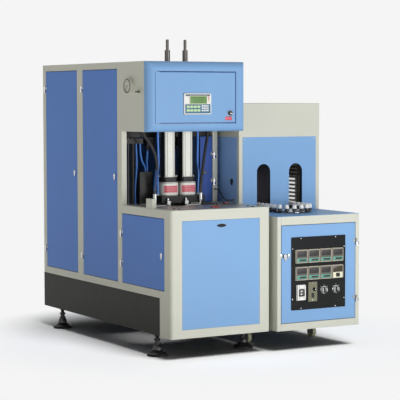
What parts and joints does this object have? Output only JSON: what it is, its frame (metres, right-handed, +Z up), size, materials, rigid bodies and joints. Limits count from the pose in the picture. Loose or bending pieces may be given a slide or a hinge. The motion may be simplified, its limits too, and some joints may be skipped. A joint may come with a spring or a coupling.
{
  "type": "blow moulding machine",
  "caption": "Semi-automatic stretch blow moulding machine with twin blow heads over a mould well, and an arched preform heater docked beside it.",
  "frame": {"origin": "middle of the sole of the blowing unit's front left levelling foot", "axes": "+X to the operator's right, towards the heater; +Y to the back; +Z up"},
  "size_m": [1.4543, 1.9863, 2.05],
  "materials": {
    "beige_paint": "semi-gloss powder coat",
    "blue_paint": "semi-gloss powder coat",
    "black_paint": "satin paint",
    "cast_iron_grey": "painted casting",
    "chrome": "polished",
    "aluminium": "anodised",
    "brushed_steel": "brushed",
    "black_plastic": "gloss",
    "white_plastic": "matte",
    "hose_blue": "satin",
    "hose_black": "satin",
    "wheel_polymer": "matte",
    "lamp_glass": "clear quartz",
    "gauge_body": "bezel"
  },
  "bodies": {
    "machine": {"base_plinth": "black_paint", "black_hoses": "hose_black", "blow_cylinders": "aluminium", "blue_hoses": "hose_blue", "cabinet_top": "blue_paint", "carrier_chain": "black_paint", "castor_mounts": "brushed_steel", "clamp_frame": "cast_iron_grey", "closing_panels": "blue_paint", "front_panel": "blue_paint", "gauge_and_air_valve": "gauge_body", "head_blocks": "black_paint", "head_cover": "blue_paint", "head_panels": "beige_paint", "heater_frame": "beige_paint", "hinge_posts": "chrome", "hose_fittings": "brushed_steel", "lamp_racks": "brushed_steel", "lamps": "lamp_glass", "levelling_feet": "black_paint", "main_frame": "beige_paint", "oven_cover": "beige_paint", "oven_front_panel": "blue_paint", "preform_holders": "white_plastic", "table_plate": "brushed_steel", "valve_bay": "cast_iron_grey"},
    "rear_tall_door": {"rear_tall_door": "blue_paint"},
    "rear_tall_door_lock": {"rear_tall_door_lock": "chrome"},
    "front_tall_door": {"front_tall_door": "blue_paint"},
    "front_tall_door_lock": {"front_tall_door_lock": "chrome"},
    "lower_door": {"lower_door": "blue_paint"},
    "lower_door_lock": {"lower_door_lock": "chrome"},
    "control_door": {"control_door": "blue_paint", "controller": "white_plastic"},
    "control_door_knob": {"control_door_knob": "black_plastic"},
    "inner_door": {"inner_door": "blue_paint"},
    "air_valve_lever": {"air_valve_lever": "chrome"},
    "gauge_needle": {"gauge_needle": "black_plastic"},
    "stretch_rod_left": {"stretch_rod_left": "chrome"},
    "seal_nozzle_left": {"seal_nozzle_left": "black_paint"},
    "stretch_rod_right": {"stretch_rod_right": "chrome"},
    "seal_nozzle_right": {"seal_nozzle_right": "black_paint"},
    "moving_platen": {"moving_platen": "cast_iron_grey"},
    "heater_door": {"heater_door": "blue_paint", "control_plate": "black_plastic", "panel_instruments": "white_plastic"},
    "heater_door_lock": {"heater_door_lock": "chrome"},
    "oven_side_cover_lock": {"oven_side_cover_lock": "black_plastic"},
    "breaker_lever": {"breaker_lever": "black_plastic"},
    "speed_knob": {"speed_knob": "black_plastic"},
    "selector_knob_left": {"selector_knob_left": "black_plastic"},
    "selector_knob_right": {"selector_knob_right": "black_plastic"},
    "carrier_wheel_front": {"carrier_wheel_front": "brushed_steel"},
    "carrier_wheel_rear": {"carrier_wheel_rear": "brushed_steel"},
    "castor_fork_front_left": {"castor_fork_front_left": "brushed_steel"},
    "castor_wheel_front_left": {"castor_wheel_front_left": "wheel_polymer"},
    "castor_wheel_rear_left": {"castor_wheel_rear_left": "wheel_polymer"},
    "castor_fork_front_right": {"castor_fork_front_right": "brushed_steel"},
    "castor_wheel_front_right": {"castor_wheel_front_right": "wheel_polymer"},
    "castor_wheel_rear_right": {"castor_wheel_rear_right": "wheel_polymer"}
  },
  "joints": [
    {"name": "rear_tall_door_hinge", "type": "hinge", "parent": "machine", "child": "rear_tall_door", "pos_m": [-0.0525, 1.609, 1.1465], "axis": [0, 0, -1], "range_deg": [0, 110]},
    {"name": "rear_tall_door_lock_turn", "type": "hinge", "parent": "rear_tall_door", "child": "rear_tall_door_lock", "pos_m": [-0.045, 1.115, 1.1465], "axis": [-1, 0, 0], "range_deg": [0, 90]},
    {"name": "front_tall_door_hinge", "type": "hinge", "parent": "machine", "child": "front_tall_door", "pos_m": [-0.0525, 0.999, 1.1465], "axis": [0, 0, -1], "range_deg": [0, 110]},
    {"name": "front_tall_door_lock_turn", "type": "hinge", "parent": "front_tall_door", "child": "front_tall_door_lock", "pos_m": [-0.045, 0.5, 1.1465], "axis": [-1, 0, 0], "range_deg": [0, 90]},
    {"name": "lower_door_hinge", "type": "hinge", "parent": "machine", "child": "lower_door", "pos_m": [-0.0525, 0.409, 0.6685], "axis": [0, 0, -1], "range_deg": [0, 110]},
    {"name": "lower_door_lock_turn", "type": "hinge", "parent": "lower_door", "child": "lower_door_lock", "pos_m": [-0.045, -0.15, 0.6685], "axis": [-1, 0, 0], "range_deg": [0, 90]},
    {"name": "control_door_hinge", "type": "hinge", "parent": "machine", "child": "control_door", "pos_m": [0.017, 0.043, 1.6645], "axis": [0, 0, -1], "range_deg": [0, 80]},
    {"name": "control_door_knob_turn", "type": "hinge", "parent": "control_door", "child": "control_door_knob", "pos_m": [0.569, 0.034, 1.563], "axis": [0, -1, 0], "range_deg": [0, 90]},
    {"name": "inner_door_hinge", "type": "hinge", "parent": "machine", "child": "inner_door", "pos_m": [0.66, 0.3965, 1.18], "axis": [0, 0, 1], "range_deg": [0, 85]},
    {"name": "air_valve_lever_turn", "type": "hinge", "parent": "machine", "child": "air_valve_lever", "pos_m": [-0.065, 0.153, 1.702], "axis": [1, 0, 0], "range_deg": [-45, 45]},
    {"name": "gauge_needle_turn", "type": "hinge", "parent": "machine", "child": "gauge_needle", "pos_m": [-0.069, 0.267, 1.741], "axis": [1, 0, 0], "range_deg": [0, 270]},
    {"name": "stretch_rod_left_stroke", "type": "slide", "parent": "machine", "child": "stretch_rod_left", "axis": [0, 0, -1], "range_m": [0, 0.3]},
    {"name": "seal_nozzle_left_stroke", "type": "slide", "parent": "machine", "child": "seal_nozzle_left", "axis": [0, 0, -1], "range_m": [0, 0.06]},
    {"name": "stretch_rod_right_stroke", "type": "slide", "parent": "machine", "child": "stretch_rod_right", "axis": [0, 0, -1], "range_m": [0, 0.3]},
    {"name": "seal_nozzle_right_stroke", "type": "slide", "parent": "machine", "child": "seal_nozzle_right", "axis": [0, 0, -1], "range_m": [0, 0.06]},
    {"name": "clamp_stroke", "type": "slide", "parent": "machine", "child": "moving_platen", "axis": [0, -1, 0], "range_m": [0, 0.25]},
    {"name": "heater_door_hinge", "type": "hinge", "parent": "machine", "child": "heater_door", "pos_m": [1.353, -0.3125, 0.51], "axis": [0, 0, 1], "range_deg": [0, 110]},
    {"name": "heater_door_lock_turn", "type": "hinge", "parent": "heater_door", "child": "heater_door_lock", "pos_m": [0.786, -0.305, 0.63129], "axis": [0, 1, 0], "range_deg": [0, 90]},
    {"name": "oven_side_cover_lock_turn", "type": "hinge", "parent": "machine", "child": "oven_side_cover_lock", "pos_m": [0.725, 0.262, 1.10178], "axis": [-1, 0, 0], "range_deg": [0, 90]},
    {"name": "breaker_lever_throw", "type": "hinge", "parent": "heater_door", "child": "breaker_lever", "pos_m": [0.905, -0.316, 0.385], "axis": [1, 0, 0], "range_deg": [-25, 25]},
    {"name": "speed_knob_turn", "type": "hinge", "parent": "heater_door", "child": "speed_knob", "pos_m": [1.009, -0.314, 0.402], "axis": [0, 1, 0], "range_deg": [0, 270]},
    {"name": "selector_knob_left_turn", "type": "hinge", "parent": "heater_door", "child": "selector_knob_left", "pos_m": [1.091, -0.312, 0.392], "axis": [0, 1, 0], "range_deg": [-45, 45]},
    {"name": "selector_knob_right_turn", "type": "hinge", "parent": "heater_door", "child": "selector_knob_right", "pos_m": [1.185, -0.312, 0.392], "axis": [0, 1, 0], "range_deg": [-45, 45]},
    {"name": "carrier_wheel_front_spin", "type": "hinge", "parent": "machine", "child": "carrier_wheel_front", "pos_m": [1.0515, 0.034, 0.897], "axis": [0, 0, 1], "continuous": true},
    {"name": "carrier_wheel_rear_spin", "type": "hinge", "parent": "machine", "child": "carrier_wheel_rear", "pos_m": [1.0515, 1.1516, 0.897], "axis": [0, 0, 1], "continuous": true},
    {"name": "castor_front_left_swivel", "type": "hinge", "parent": "machine", "child": "castor_fork_front_left", "pos_m": [0.787, 0.139, 0.13], "axis": [0, 0, 1], "continuous": true},
    {"name": "castor_front_left_roll", "type": "hinge", "parent": "castor_fork_front_left", "child": "castor_wheel_front_left", "pos_m": [0.787, 0.167, 0.04], "axis": [1, 0, 0], "continuous": true},
    {"name": "castor_rear_left_roll", "type": "hinge", "parent": "machine", "child": "castor_wheel_rear_left", "pos_m": [0.787, 1.335, 0.04], "axis": [1, 0, 0], "continuous": true},
    {"name": "castor_front_right_swivel", "type": "hinge", "parent": "machine", "child": "castor_fork_front_right", "pos_m": [1.316, 0.139, 0.13], "axis": [0, 0, 1], "continuous": true},
    {"name": "castor_front_right_roll", "type": "hinge", "parent": "castor_fork_front_right", "child": "castor_wheel_front_right", "pos_m": [1.316, 0.167, 0.04], "axis": [1, 0, 0], "continuous": true},
    {"name": "castor_rear_right_roll", "type": "hinge", "parent": "machine", "child": "castor_wheel_rear_right", "pos_m": [1.316, 1.335, 0.04], "axis": [1, 0, 0], "continuous": true}
  ],
  "couplings": [
    {"joint": "carrier_wheel_rear_spin", "follows": "carrier_wheel_front_spin", "ratio": 1}
  ]
}
